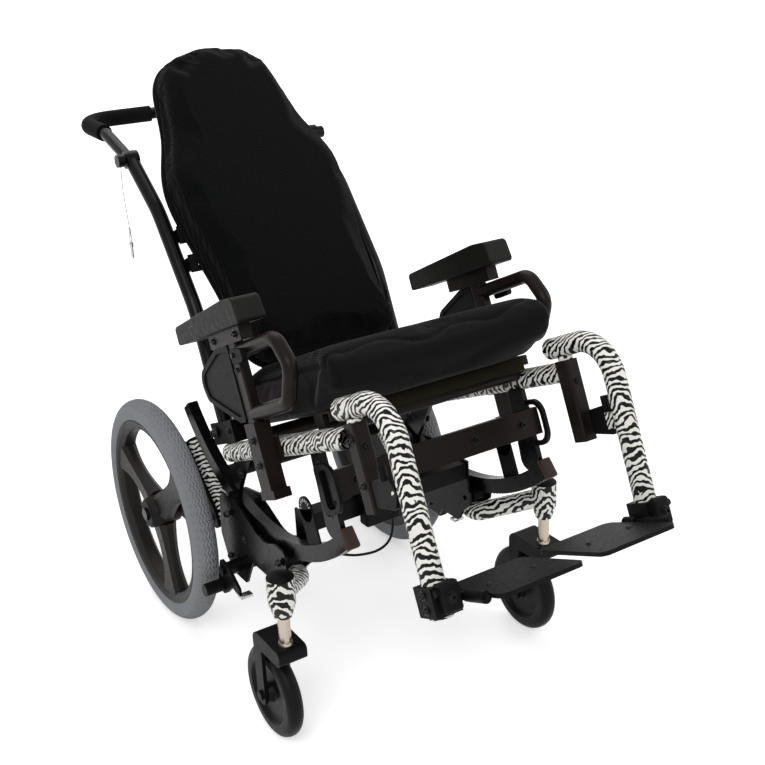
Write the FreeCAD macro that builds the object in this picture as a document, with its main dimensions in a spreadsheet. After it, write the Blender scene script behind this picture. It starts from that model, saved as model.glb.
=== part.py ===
import FreeCAD
import Part
import math
import os

from FreeCAD import Vector, Placement, Rotation

# Tilt in space wheelchair, millimetres. The chair faces -Y, +X is the occupant's left and the floor is z = 0.
# The seat half is drawn level, in a frame whose origin is the tilt centre, and is then turned back by
# the angle it has in the photograph.

doc = FreeCAD.newDocument("TiltInSpaceWheelchair")

# Driving dimensions

sizes = {
    # place of the origin, under the middle of the whole chair
    "shift_back": 206,
    # tilt
    "tilt_now": 23,
    "arc_back": -275,
    "arc_up": 645,
    # base frame
    "frame_tube": 32,
    "frame_wall": 2.5,
    "base_half": 181,
    "base_up": 236,
    "base_front": -351,
    "base_bend": -108,
    "base_rear": 4,
    "base_top": 341,
    # rear wheels
    "wheel_half": 240,
    "wheel_back": 52,
    "wheel_radius": 207,
    "tyre_section": 44,
    "rim_radius": 174,
    "hub_radius": 31,
    "hub_length": 54,
    "spoke_turn": 20,
    "axle_radius": 6.3,
    "axle_hole": 6.35,
    # casters
    "stem_half": 250.9,
    "stem_front": -437,
    "stem_radius": 9,
    "stem_hole": 9.05,
    "caster_radius": 76,
    "caster_width": 30,
    "caster_trail": 52,
    "housing_low": 239,
    "housing_high": 304,
    # rocker
    "rocker_in": 349,
    "rocker_out": 375,
    "rocker_width": 18,
    "rocker_front": 20,
    "rocker_rear": 73.5,
    "tooth_pitch": 8,
    "tooth_height": 3.5,
    "roller_radius": 10,
    "roller_gap": 0.3,
    "roller_front": 10,
    "roller_rear": 17,
    # seat frame, measured from the tilt centre
    "rail_half": 190,
    "rail_drop": 195,
    "rail_front": 222,
    "rail_rear": 195,
    "hanger_half": 183,
    "receiver_front": 237,
    "seat_half": 200,
    "pan_drop": 160,
    # back, measured from the tilt centre
    "back_lean": 18,
    "back_front": 115,
    "back_thick": 55,
    "cane_half": 178,
    "cane_tube": 25,
    # push handle
    "grip_tube": 22,
    "foam_tube": 30,
    # armrest
    "arm_half": 223,
    "pad_width": 45,
    # footplates
    "plate_thick": 6,
}

sheet = doc.addObject("Spreadsheet::Sheet", "Sizes")
for row, (alias, value) in enumerate(sizes.items(), start=1):
    sheet.set(f"A{row}", alias)
    sheet.set(f"B{row}", str(value))
    sheet.setAlias(f"B{row}", alias)
doc.recompute()


def size(alias):
    """A driving dimension, read from the sheet"""
    return float(sheet.get(alias))


nodes = []
sides = {"right": -1, "left": 1}
tilt = math.radians(size("tilt_now"))
radius = size("frame_tube") / 2


# Places

def in_seat_frame(obj, across=0.0):
    """Turn a piece that was drawn level about the tilt centre into the seat's present tilt"""
    obj.Placement = Placement(Vector(across, 0, 0), Rotation(Vector(1, 0, 0), -size("tilt_now")))
    obj.setExpression(".Placement.Base.y", "Sizes.arc_back + Sizes.shift_back")
    obj.setExpression(".Placement.Base.z", "Sizes.arc_up")
    obj.setExpression(".Placement.Rotation.Angle", "-Sizes.tilt_now * 1 deg")


def keep(obj, label, frame="floor", across=0.0):
    """Name a finished piece after its file and put it in its frame"""
    obj.Label = label
    if frame == "seat":
        in_seat_frame(obj, across)
    else:
        obj.Placement = Placement(Vector(across, 0, 0), Rotation())
        obj.setExpression(".Placement.Base.y", "Sizes.shift_back")
    nodes.append(obj)
    return obj


def seat_point(x, forward, up):
    """A point of the seat frame: across, forward and up from the tilt centre, drawn level"""
    return Vector(x, -forward, up)


def back_point(x, outward, up):
    """A point of the leaning back: outward behind its front face, up along it"""
    lean = math.radians(size("back_lean"))
    start = -size("back_front")
    forward = start - outward * math.cos(lean) - up * math.sin(lean)
    return Vector(x, -forward, up * math.cos(lean) - outward * math.sin(lean))


# Outlines

def rounded(corners):
    """Closed outline of straight edges with an arc at each corner that has a radius: (a, b, radius)"""
    count = len(corners)
    entries = []
    for index, (a, b, corner_radius) in enumerate(corners):
        here = Vector(a, b, 0)
        before = Vector(*corners[index - 1][:2], 0)
        after = Vector(*corners[(index + 1) % count][:2], 0)
        if corner_radius <= 0:
            entries.append((here, here, None))
            continue
        toward = (before - here).normalize()
        onward = (after - here).normalize()
        half = toward.getAngle(onward) / 2
        reach = corner_radius / math.tan(half)
        bisector = (toward + onward).normalize()
        middle = here + bisector * (corner_radius / math.sin(half) - corner_radius)
        entries.append((here + toward * reach, here + onward * reach, middle))
    edges = []
    for index, (start, end, middle) in enumerate(entries):
        if middle is not None:
            edges.append(Part.Arc(start, middle, end))
        following = entries[(index + 1) % count][0]
        if (following - end).Length > 1e-6:
            edges.append(Part.LineSegment(end, following))
    return edges


def circle(a, b, hole_radius):
    return Part.Circle(Vector(a, b, 0), Vector(0, 0, 1), hole_radius)


def arc_band(inner, outer, front_angle, rear_angle):
    """Band about the tilt centre, its angles counted from straight down; a is back, b is up"""

    def at(reach, angle):
        turn = math.radians(angle)
        return Vector(reach * math.sin(turn), -reach * math.cos(turn), 0)

    middle = (rear_angle - front_angle) / 2
    return [
        Part.Arc(at(outer, -front_angle), at(outer, middle), at(outer, rear_angle)),
        Part.LineSegment(at(outer, rear_angle), at(inner, rear_angle)),
        Part.Arc(at(inner, rear_angle), at(inner, middle), at(inner, -front_angle)),
        Part.LineSegment(at(inner, -front_angle), at(outer, -front_angle)),
    ]


def toothed_band(inner, outer, height, pitch, front_angle, rear_angle):
    """The same band with rack teeth cut in its outer edge"""
    arc = math.radians(front_angle + rear_angle)
    count = int(arc * outer / pitch)
    step = arc / count
    points = []
    for index in range(count):
        start = -math.radians(front_angle) + index * step
        for share, reach in ((0.0, outer - height), (0.2, outer - height), (0.4, outer), (0.8, outer)):
            turn = start + share * step
            points.append(Vector(reach * math.sin(turn), -reach * math.cos(turn), 0))
    last = math.radians(rear_angle)
    points.append(Vector((outer - height) * math.sin(last), -(outer - height) * math.cos(last), 0))
    edges = [Part.LineSegment(first, second) for first, second in zip(points, points[1:])]
    ends = arc_band(inner, outer - height, front_angle, rear_angle)
    return edges + ends[1:]


# Solids

def new_sketch(body, plane_role, edges, offset=None):
    """Sketch on one of the body's own origin planes"""
    sketch = body.newObject("Sketcher::SketchObject", body.Name + "Sketch")
    plane = [feature for feature in body.Origin.OriginFeatures if feature.Role == plane_role][0]
    sketch.AttachmentSupport = [(plane, "")]
    sketch.MapMode = "FlatFace"
    if offset is not None:
        sketch.AttachmentOffset = Placement(offset, Rotation())
    for edge in edges:
        sketch.addGeometry(edge, False)
    return sketch


def pad(body, sketch, length, symmetric=True):
    feature = body.newObject("PartDesign::Pad", body.Name + "Pad")
    feature.Profile = sketch
    feature.Length = length if not isinstance(length, str) else 1
    if isinstance(length, str):
        feature.setExpression("Length", length)
    if symmetric:
        feature.SideType = "Symmetric"
    return feature


def side_plate(label, layers, frame="floor", across=0.0):
    """Piece made of side view outlines, each (edges, thickness, offset across)"""
    body = doc.addObject("PartDesign::Body", label)
    for edges, thickness, offset in layers:
        sketch = new_sketch(body, "YZ_Plane", edges, Vector(0, 0, offset))
        pad(body, sketch, thickness)
    return keep(body, label, frame, across)


def turned(label, edges, centre):
    """Piece turned about an axis along X: the outline is drawn as across, out from the axis"""
    body = doc.addObject("PartDesign::Body", label)
    sketch = new_sketch(body, "XY_Plane", edges)
    feature = body.newObject("PartDesign::Revolution", label + "Turn")
    feature.Profile = sketch
    feature.ReferenceAxis = (sketch, ["H_Axis"])
    feature.Angle = 360
    body.Label = label
    body.Placement = Placement(centre + Vector(0, size("shift_back"), 0), Rotation())
    nodes.append(body)
    return body


def seat_placement():
    return Placement(Vector(0, size("arc_back"), size("arc_up")), Rotation(Vector(1, 0, 0), -size("tilt_now")))


def shape_piece(label, shape, frame="floor"):
    """Piece that bends through space, made with its own shape"""
    obj = doc.addObject("Part::Feature", label)
    obj.Shape = shape
    return keep(obj, label, frame)


def cylinder(start, end, rod_radius):
    axis = end - start
    return Part.makeCylinder(rod_radius, axis.Length, start, axis)


def block(low, high):
    """Box between two opposite corners, in any order"""
    corner = Vector(min(low.x, high.x), min(low.y, high.y), min(low.z, high.z))
    return Part.makeBox(abs(high.x - low.x), abs(high.y - low.y), abs(high.z - low.z), corner)


def smooth_path(points, radii):
    """Wire of straight runs joined by tangent arcs, one radius for each inner point"""
    edges = []
    start = points[0]
    for index in range(1, len(points) - 1):
        here = points[index]
        toward = (points[index - 1] - here).normalize()
        onward = (points[index + 1] - here).normalize()
        half = toward.getAngle(onward) / 2
        bend = radii[index - 1]
        reach = bend / math.tan(half)
        bisector = (toward + onward).normalize()
        middle = here + bisector * (bend / math.sin(half) - bend)
        arc_start = here + toward * reach
        arc_end = here + onward * reach
        edges.append(Part.LineSegment(start, arc_start).toShape())
        edges.append(Part.Arc(arc_start, middle, arc_end).toShape())
        start = arc_end
    edges.append(Part.LineSegment(start, points[-1]).toShape())
    return Part.Wire(edges)


def swept(points, radii, tube_radius):
    """Round bar along a bent path"""
    path = smooth_path(points, radii)
    profile = Part.Wire([Part.makeCircle(tube_radius, points[0], points[1] - points[0])])
    return path.makePipeShell([profile], True, False)


def bent_tube(points, radii, outer_radius, wall):
    """Open tube along a bent path"""
    return swept(points, radii, outer_radius).cut(swept(points, radii, outer_radius - wall))


def mirrored(shape):
    return shape.mirror(Vector(0, 0, 0), Vector(1, 0, 0))


def on_side(shape, sign):
    """Shape drawn for the left side, moved to the side asked for"""
    return shape if sign > 0 else mirrored(shape)


# Base frame: one bent and welded tube each side, with the caster housing at its front end

def base_side(label, sign):
    half = size("base_half")
    up = size("base_up")
    stem = Vector(size("stem_half"), size("stem_front"), 0)
    elbow = Vector(half - 7, size("base_front"), up)
    route = [
        Vector(stem.x - 4, stem.y + 5, 274),
        elbow,
        Vector(half, size("base_bend"), up),
        Vector(half, size("base_rear"), size("base_top")),
    ]
    tube = bent_tube(route, [26, 62], radius, size("frame_wall"))
    housing = Part.makeCylinder(21, size("housing_high") - 262, Vector(stem.x, stem.y, 262))
    taper = Part.makeCone(14, 21, 262 - size("housing_low"), Vector(stem.x, stem.y, size("housing_low")))
    bore = Part.makeCylinder(size("stem_hole"), 80, Vector(stem.x, stem.y, size("housing_low") - 1))
    shape = tube.fuse([housing, taper]).cut(bore)
    return shape_piece(label, on_side(shape, sign))


def end_caps():
    """Plugs in the rear ends of the base tubes and in the cross tube, and the caster housings' domes"""
    half = size("base_half")
    direction = Vector(0, size("base_rear") - size("base_bend"), size("base_top") - size("base_up")).normalize()
    rear = Vector(half, size("base_rear"), size("base_top"))
    plug = cylinder(rear, rear + direction * 5, radius)
    plug = plug.fuse(Part.makeCylinder(radius - size("frame_wall") - 0.1, 14, rear, direction * -1))
    top = Vector(size("stem_half"), size("stem_front"), size("housing_high"))
    dome = Part.makeSphere(30, top + Vector(0, 0, -21)).common(Part.makeCylinder(21, 12, top))
    start = Vector(73, -335, 355)
    cross_cap = cylinder(start, start + Vector(3, 0, 0), radius)
    cross_cap = cross_cap.fuse(cylinder(start, start + Vector(-12, 0, 0), radius - size("frame_wall") - 0.1))
    shapes = [on_side(cap, sign) for cap in (plug, dome, cross_cap) for sign in sides.values()]
    return shape_piece("end_caps", Part.makeCompound(shapes))


def axle_plate(label, sign):
    """Plate that bolts the wheel axle to the rear leg of the base tube, with spare axle holes"""
    axle = (size("wheel_back"), size("wheel_radius"))
    outline = rounded([
        (-118, 226, 10), (-40, 212, 30), (30, 180, 12), (76, 180, 16),
        (76, 262, 16), (8, 352, 12), (-20, 330, 12), (-102, 258, 10),
    ])
    holes = [circle(axle[0], axle[1] + 25 * step, size("axle_hole")) for step in range(3)]
    holes += [circle(-92, 238, 4), circle(-46, 284, 4), circle(-8, 318, 4)]
    across = sign * (size("base_half") + radius + 3)
    return side_plate(label, [(outline + holes, 6, 0)], across=across)


def axles():
    """Threaded axle of each rear wheel, clamped in its plate by two nuts"""
    shapes = []
    inner = size("base_half") + radius
    centre = Vector(0, size("wheel_back"), size("wheel_radius"))
    for sign in sides.values():
        outer = size("wheel_half") + size("hub_length") / 2 + 1
        bolt = cylinder(centre + Vector(inner - 12, 0, 0), centre + Vector(outer, 0, 0), size("axle_radius"))
        head = cylinder(centre + Vector(outer, 0, 0), centre + Vector(outer + 6, 0, 0), 11)
        nut = cylinder(centre + Vector(inner - 10, 0, 0), centre + Vector(inner, 0, 0), 10)
        collar = cylinder(centre + Vector(inner + 6, 0, 0), centre + Vector(inner + 14, 0, 0), 10)
        shapes.append(on_side(bolt.fuse([head, nut, collar]), sign))
    return shape_piece("axles", Part.makeCompound(shapes))


def base_crossbars():
    """Black cross members: a square one ahead with the clamp box on it, a round one at the rear"""
    reach = size("base_half") - radius - 11
    front = block(Vector(-reach, -350, 305), Vector(reach, -320, 335))
    front = front.cut(block(Vector(-reach, -347, 308), Vector(reach, -323, 332)))
    saddle = block(Vector(-58, -352, 335), Vector(2, -318, 339))
    box = block(Vector(-60, -374, 292), Vector(4, -350, 338))
    box = box.makeFillet(4, box.Edges)
    bolt = cylinder(Vector(-52, -378, 314), Vector(-52, -378, 342), 4)
    half = size("base_half") - radius
    rear = cylinder(Vector(-half, -48, 292), Vector(half, -48, 292), 12.7)
    rear = rear.cut(cylinder(Vector(-half, -48, 292), Vector(half, -48, 292), 10.7))
    return shape_piece("base_crossbars", Part.makeCompound([front.fuse([saddle, box, bolt]), rear]))


def cross_tube():
    """Short striped tube clamped across the front crossbar"""
    body = cylinder(Vector(-73, -335, 355), Vector(73, -335, 355), radius)
    bore = cylinder(Vector(-73, -335, 355), Vector(73, -335, 355), radius - size("frame_wall"))
    return shape_piece("cross_tube", body.cut(bore))


# Roller housings: two plates astride each rocker and the base tube, joined by the roller pins

def roller_centre(angle):
    reach = size("rocker_out") + size("roller_gap") + size("roller_radius")
    turn = math.radians(angle)
    return Vector(0, size("arc_back") + reach * math.sin(turn), size("arc_up") - reach * math.cos(turn))


def roller_angles():
    return {"front": -size("roller_front"), "rear": size("roller_rear")}


def lock_pivot():
    """End of the post that carries the wheel lock"""
    return Vector(size("base_half") + radius + 26, -178, 184)


def roller_housing(label, sign):
    half = size("base_half")
    outline = rounded([
        (-358, 288, 10), (-358, 258, 8), (-338, 240, 10), (-326, 216, 10), (-236, 216, 8), (-206, 162, 8),
        (-150, 162, 8), (-120, 222, 12), (-128, 300, 14), (-190, 312, 20), (-280, 272, 60), (-318, 288, 12),
    ])
    shape = None
    for offset in (-(radius + 11), radius):
        face = Part.Face(Part.Wire([edge.toShape() for edge in outline]))
        face.rotate(Vector(0, 0, 0), Vector(1, 1, 1), 120)
        plate = face.extrude(Vector(4, 0, 0))
        plate.translate(Vector(half + offset, 0, 0))
        shape = plate if shape is None else shape.fuse(plate)
    for angle in roller_angles().values():
        centre = roller_centre(angle)
        shape = shape.fuse(cylinder(centre + Vector(half - radius - 14, 0, 0),
                                    centre + Vector(half + radius + 8, 0, 0), 4))
    lift = block(Vector(half - radius - 11, -352, 262), Vector(half - radius - 7, -318, 338))
    pivot = lock_pivot()
    post = cylinder(Vector(half - radius - 9, pivot.y, pivot.z), pivot, 12)
    pin = cylinder(pivot, pivot + Vector(6.2, 0, 0), 4)
    head = cylinder(pivot + Vector(6.2, 0, 0), pivot + Vector(11, 0, 0), 8)
    return shape_piece(label, on_side(shape.fuse([lift, post, pin, head]), sign))


def roller(label, sign, angle):
    """Flanged support roller, bored for its pin"""
    half = size("base_half")
    across = size("rocker_width") / 2 + 0.6
    rim = size("roller_radius")
    outline = [
        (-across - 4, 4.05), (-across - 4, rim + 2), (-across, rim + 2), (-across, rim),
        (across, rim), (across, rim + 2), (across + 4, rim + 2), (across + 4, 4.05),
    ]
    edges = rounded([(a, b, 0) for a, b in outline])
    return turned(label, edges, roller_centre(angle) + Vector(sign * half, 0, 0))


# Wheel locks

def wheel_lock(label, sign):
    """Lever with a roller that is pressed on the tyre, and a foot tab at its front"""
    pivot = lock_pivot()
    outline = rounded([(-196, 196, 9), (-166, 202, 9), (-150, 150, 10), (-166, 132, 10), (-182, 142, 8),
                       (-206, 164, 8), (-232, 158, 6), (-232, 172, 6)])
    face = Part.Face(Part.Wire([edge.toShape() for edge in outline]))
    face.rotate(Vector(0, 0, 0), Vector(1, 1, 1), 120)
    lever = face.extrude(Vector(5, 0, 0))
    lever.translate(Vector(pivot.x + 0.5, 0, 0))
    bore = cylinder(pivot, pivot + Vector(9, 0, 0), 4.05)
    press = cylinder(Vector(pivot.x + 5, -168, 152), Vector(pivot.x + 40, -168, 152), 11)
    tab = block(Vector(pivot.x - 16, -240, 157), Vector(pivot.x + 5.5, -226, 161))
    return shape_piece(label, on_side(lever.fuse([press, tab]).cut(bore), sign))


# Rear wheels

def tyre(label, sign):
    """Air tyre, turned as a ring that sits in the rim channel"""
    section = size("tyre_section") / 2
    centre = size("wheel_radius") - section
    bead = size("rim_radius")
    depth = math.sqrt(section ** 2 - (bead - centre) ** 2)
    edges = [
        Part.Arc(Vector(depth, bead, 0), Vector(0, centre + section, 0), Vector(-depth, bead, 0)),
        Part.LineSegment(Vector(-depth, bead, 0), Vector(depth, bead, 0)),
    ]
    place = Vector(sign * size("wheel_half"), size("wheel_back"), size("wheel_radius"))
    return turned(label, edges, place)


def rear_wheel(label, sign):
    """Moulded wheel: rim channel, three broad spokes and a hub"""
    rim = size("rim_radius")
    hub = size("hub_radius")
    half = size("hub_length") / 2
    ring = rounded([(-20, rim, 3), (20, rim, 3), (17, rim - 10, 3), (11, rim - 20, 4), (-11, rim - 20, 4),
                    (-17, rim - 10, 3)])
    face = Part.Face(Part.Wire([edge.toShape() for edge in ring]))
    shape = face.revolve(Vector(0, 0, 0), Vector(1, 0, 0), 360)
    core = Part.makeCone(hub, hub - 4, half, Vector(0, 0, 0), Vector(1, 0, 0))
    shape = shape.fuse([core, mirrored(core)])
    sections = [(hub - 8, 52, 34), (64, 42, 26), (108, 42, 24), (rim - 15, 76, 30)]
    for index in range(3):
        wires = []
        for reach, width, thick in sections:
            cut = thick * 0.3
            across, deep = width / 2, thick / 2
            ring_points = [Vector(deep, reach, -across + cut), Vector(deep, reach, across - cut),
                           Vector(deep - cut, reach, across), Vector(cut - deep, reach, across),
                           Vector(-deep, reach, across - cut), Vector(-deep, reach, cut - across),
                           Vector(cut - deep, reach, -across), Vector(deep - cut, reach, -across)]
            wires.append(Part.makePolygon(ring_points + [ring_points[0]]))
        spoke = Part.makeLoft(wires, True, False)
        spoke.rotate(Vector(0, 0, 0), Vector(1, 0, 0), size("spoke_turn") + 120 * index)
        shape = shape.fuse(spoke)
    bore = cylinder(Vector(-60, 0, 0), Vector(60, 0, 0), size("axle_hole"))
    shape = shape.cut(bore)
    place = Vector(sign * size("wheel_half"), size("wheel_back"), size("wheel_radius"))
    return shape_piece(label, shape.transformed(Placement(place, Rotation()).toMatrix(), True))


# Casters

def caster_fork(label, sign):
    """Nickel stem and the black fork under it"""
    stem = Vector(size("stem_half"), size("stem_front"), 0)
    rear = size("stem_front") + size("caster_trail")
    wheel = size("caster_radius")
    outline = rounded([(stem.y - 22, 190, 8), (rear + 12, 192, 16), (rear + 12, wheel - 16, 11),
                       (rear - 12, wheel - 16, 11), (rear - 13, 165, 6), (stem.y - 22, 165, 8)])
    face = Part.Face(Part.Wire([edge.toShape() for edge in outline]))
    face.rotate(Vector(0, 0, 0), Vector(1, 1, 1), 120)
    half = size("caster_width") / 2 + 9
    fork = face.extrude(Vector(2 * half, 0, 0))
    fork.translate(Vector(stem.x - half, 0, 0))
    slot_half = size("caster_width") / 2 + 3
    gap = cylinder(Vector(stem.x - slot_half, rear, wheel), Vector(stem.x + slot_half, rear, wheel), wheel + 7)
    hole = cylinder(Vector(stem.x - 60, rear, wheel), Vector(stem.x + 60, rear, wheel), 4)
    bolt = cylinder(Vector(stem.x - half - 3, rear, wheel), Vector(stem.x + half + 3, rear, wheel), 4)
    heads = [cylinder(Vector(stem.x + end * half, rear, wheel), Vector(stem.x + end * (half + 4), rear, wheel), 8)
             for end in (-1, 1)]
    shaft = Part.makeCylinder(size("stem_radius"), 112, Vector(stem.x, stem.y, 186))
    shape = fork.cut(gap).cut(hole).fuse([bolt] + heads + [shaft])
    return shape_piece(label, on_side(shape, sign))


def caster_wheel(label, sign):
    """Solid tyre on a small hub, turned in one outline"""
    rim = size("caster_radius")
    half = size("caster_width") / 2
    edges = rounded([(-half - 2, 4.05, 0), (-half - 2, 14, 2), (-7, 17, 3), (-7, 48, 3), (-half + 1, 53, 4),
                     (-half + 1, rim, 13), (half - 1, rim, 13), (half - 1, 53, 4), (7, 48, 3), (7, 17, 3),
                     (half + 2, 14, 2), (half + 2, 4.05, 0)])
    place = Vector(sign * size("stem_half"), size("stem_front") + size("caster_trail"), rim)
    return turned(label, edges, place)


# Rockers: curved racks under the seat frame, centred on the tilt axis

def rocker(label, sign):
    inner = size("rocker_in")
    outer = size("rocker_out")
    front = size("rocker_front")
    rear = size("rocker_rear")
    width = size("rocker_width")
    root = outer - size("tooth_height")
    band = arc_band(inner, root - 1, front, rear)
    track = arc_band(root - 3, outer, front, rear)
    rack = toothed_band(root - 6, outer, size("tooth_height"), size("tooth_pitch"), front - 0.6, rear - 6)
    strut_top = -size("rail_drop") - 12
    strut = rounded([(-118, strut_top, 4), (-118, -inner + 12, 20), (-70, -inner + 6, 20), (-84, strut_top, 4)])
    rear_strut = rounded([(150, strut_top, 4), (196, strut_top, 4), (262, -236, 10), (232, -270, 10)])
    layers = [
        (band, width, 0),
        (track, width / 2, sign * width / 4),
        (rack, width / 2 - 1, -sign * (width / 4 - 0.5)),
        (strut, 8, 0),
        (rear_strut, 8, 0),
    ]
    return side_plate(label, layers, "seat", sign * size("base_half"))


# Seat frame

def seat_rail(label, sign):
    half = size("rail_half")
    down = -size("rail_drop")
    start = seat_point(half, -size("rail_rear"), down)
    end = seat_point(half, size("rail_front"), down)
    tube = cylinder(start, end, radius).cut(cylinder(start, end, radius - size("frame_wall")))
    return shape_piece(label, on_side(tube, sign), "seat")


def seat_pan():
    """Folded sheet pan on two cross tubes between the rails"""
    half = size("rail_half") - 6
    low = -size("pan_drop")
    pan = block(seat_point(-half + 8, -145, low), seat_point(half - 8, 156, low + 3))
    lip = block(seat_point(-half + 8, 153, low - 12), seat_point(half - 8, 156, low))
    shapes = [lip]
    for forward in (-120, 120):
        shapes.append(cylinder(seat_point(-half + 10, forward, low - 21), seat_point(half - 10, forward, low - 21), 12.7))
        for sign in sides.values():
            shapes.append(block(seat_point(sign * (half - 30), forward - 14, low - 14),
                                seat_point(sign * (half - 8), forward + 14, low)))
    pan = pan.fuse(shapes)
    return shape_piece("seat_pan", pan, "seat")


def hanger_receivers():
    """Square posts at the front of the seat frame, each with a socket for a hanger's pin"""
    half = size("hanger_half")
    front = size("receiver_front")
    shapes = []
    for sign in sides.values():
        post = block(seat_point(half - 12, front - 15, -300), seat_point(half + 12, front + 13, -177))
        post = post.makeFillet(4, [edge for edge in post.Edges if abs(edge.Vertexes[0].Z - edge.Vertexes[1].Z) > 50])
        socket = Part.makeCylinder(7.05, 90, seat_point(half, front, -262))
        shapes.append(on_side(post.cut(socket), sign))
    return shape_piece("hanger_receivers", Part.makeCompound(shapes), "seat")


def cross_beam():
    """Beam that joins the struts of the two rockers"""
    reach = size("base_half") + 4
    return shape_piece("cross_beam", block(seat_point(-reach, 118, -282), seat_point(reach, 136, -240)), "seat")


def tie_loops():
    """Oval steel loops in front of the struts, where a vehicle strap hooks in"""
    shapes = []
    for sign in sides.values():
        outer = rounded([(-148, -228, 24), (-148, -302, 24), (-92, -302, 10), (-92, -228, 10)])
        inner = rounded([(-140, -236, 17), (-140, -294, 17), (-106, -294, 8), (-106, -236, 8)])
        faces = []
        for edges in (outer, inner):
            face = Part.Face(Part.Wire([edge.toShape() for edge in edges]))
            face.rotate(Vector(0, 0, 0), Vector(1, 1, 1), 120)
            faces.append(face.extrude(Vector(6, 0, 0)))
        loop = faces[0].cut(faces[1])
        loop.translate(Vector(size("base_half") + 4, 0, 0))
        shapes.append(on_side(loop, sign))
    return shape_piece("tie_loops", Part.makeCompound(shapes), "seat")


def arm_sleeves():
    """Square sockets that take the armrest posts, clamped on the outside of the rails"""
    half = size("arm_half")
    shapes = []
    for sign in sides.values():
        sleeve = block(seat_point(half - 13, -4, -252), seat_point(half + 13, 32, -150))
        bore = block(seat_point(half - 8.1, 0.9, -249), seat_point(half + 8.1, 27.1, -149))
        clamp = block(seat_point(size("rail_half") + 16, -14, -214), seat_point(half - 12, 40, -176))
        foot = block(seat_point(half - 16, -12, -266), seat_point(half + 12, 36, -252))
        shapes.append(on_side(sleeve.fuse([clamp, foot]).cut(bore), sign))
    return shape_piece("arm_sleeves", Part.makeCompound(shapes), "seat")


def seat_cushion():
    """Foam seat cushion with a rounded front and a soft edge all round"""
    half = size("seat_half")
    low = -size("pan_drop") + 3
    body = doc.addObject("PartDesign::Body", "seat_cushion")
    outline = rounded([(112, low, 8), (-150, low, 40), (-206, -138, 20), (-226, -132, 10), (-236, -88, 22),
                       (-196, -74, 60), (-60, -76, 80), (90, -80, 26)])
    sketch = new_sketch(body, "YZ_Plane", outline)
    feature = pad(body, sketch, "2 * Sizes.seat_half")
    doc.recompute()
    fillet = body.newObject("PartDesign::Fillet", "CushionEdge")
    ends = [f"Face{index}" for index, face in enumerate(feature.Shape.Faces, start=1)
            if abs(abs(face.CenterOfMass.x) - half) < 0.01]
    fillet.Base = (feature, ends)
    fillet.Radius = 7
    return keep(body, "seat_cushion", "seat")


# Back

def back_outline(grow):
    """Closed smooth outline of the back from its half widths at heights along it"""
    heights = [(-70, 60), (-66, 112), (-42, 142), (30, 150), (110, 156), (200, 169), (275, 173), (325, 162),
               (378, 142), (440, 129), (496, 114), (528, 86), (541, 36)]
    right = [Vector(width + grow, height, 0) for height, width in heights]
    left = [Vector(-point.x, point.y, 0) for point in reversed(right)]
    curve = Part.BSplineCurve()
    curve.interpolate(Points=right + left, PeriodicFlag=True)
    return [curve]


def back_slab(grow, near, far, soft):
    """Slab of the back's outline between two distances behind its front face"""
    wire = Part.Wire([edge.toShape() for edge in back_outline(grow)])
    face = Part.Face(wire)
    face.translate(Vector(0, 0, -far))
    slab = face.extrude(Vector(0, 0, far - near))
    if soft:
        slab = slab.makeFillet(soft, slab.Edges[:1] + slab.Edges[2:])
    leaning = Placement(Vector(0, size("back_front"), 0), Rotation(Vector(1, 0, 0), 90 - size("back_lean")))
    return slab.transformed(leaning.toMatrix(), True)


def back_cushion():
    return shape_piece("back_cushion", back_slab(0, 0, size("back_thick"), 12), "seat")


def back_shell():
    """Thin shell behind the cushion, with the slotted arms that carry it between the canes"""
    far = size("back_thick") + 3.5
    shell = back_slab(-8, size("back_thick"), far, 0)
    bend, top = cane_route()[1:3]
    for sign in sides.values():
        for up in (150, 205):
            at = back_point(0, far + 2, up)
            reach = size("cane_half") - size("cane_tube") / 2
            arm = Part.makeBox(reach - 118, 5, 30, Vector(118, at.y, at.z - 15))
            slot = Part.makeBox(22, 12, 9, Vector(130, at.y - 2, at.z - 4.5))
            cane_back = bend.y + (top.y - bend.y) * (at.z - bend.z) / (top.z - bend.z)
            lug = Part.makeBox(8, cane_back + 6 - at.y, 22, Vector(reach - 8, at.y, at.z - 11))
            shell = shell.fuse(on_side(arm.cut(slot).fuse(lug), sign))
    return shape_piece("back_shell", shell, "seat")


def cane_route():
    half = size("cane_half")
    return [
        seat_point(half, -217, -166),
        seat_point(half, -217, 48),
        seat_point(half, -266, 226),
        seat_point(half, -328, 333),
    ]


def recline_pin():
    """Centre of the hinge at the foot of the cane"""
    return seat_point(size("cane_half"), -217, -158)


def cane(label, sign):
    tube = bent_tube(cane_route(), [150, 150], size("cane_tube") / 2, 2)
    pin = recline_pin()
    tube = tube.fuse(cylinder(pin + Vector(-9, 0, 0), pin + Vector(9, 0, 0), 9))
    tube = tube.cut(cylinder(pin + Vector(-40, 0, 0), pin + Vector(40, 0, 0), 4.05))
    top = cane_route()[-1]
    ear = cylinder(top + Vector(-6, 0, 0), top + Vector(6, 0, 0), 15.4)
    ear = ear.cut(cylinder(top + Vector(-9, 0, 0), top + Vector(9, 0, 0), 5.05))
    tube = tube.cut(cylinder(top + Vector(-30, 0, 0), top + Vector(30, 0, 0), 15.4)).fuse(ear)
    return shape_piece(label, on_side(tube, sign), "seat")


def cane_brackets():
    """Saddles on the rear of the rails that hold the feet of the canes, with the hinge pins"""
    half = size("cane_half")
    shapes = []
    for sign in sides.values():
        pin = recline_pin()
        saddle = block(seat_point(half - 19, -238, -179), seat_point(half + 19, -150, -142))
        slot = block(seat_point(half - 14.5, -239, -174.5), seat_point(half + 14.5, -197, -141))
        rod = cylinder(pin + Vector(-22, 0, 0), pin + Vector(22, 0, 0), 4)
        shapes.append(on_side(saddle.cut(slot).fuse(rod), sign))
    return shape_piece("cane_brackets", Part.makeCompound(shapes), "seat")


# Push handle

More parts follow.
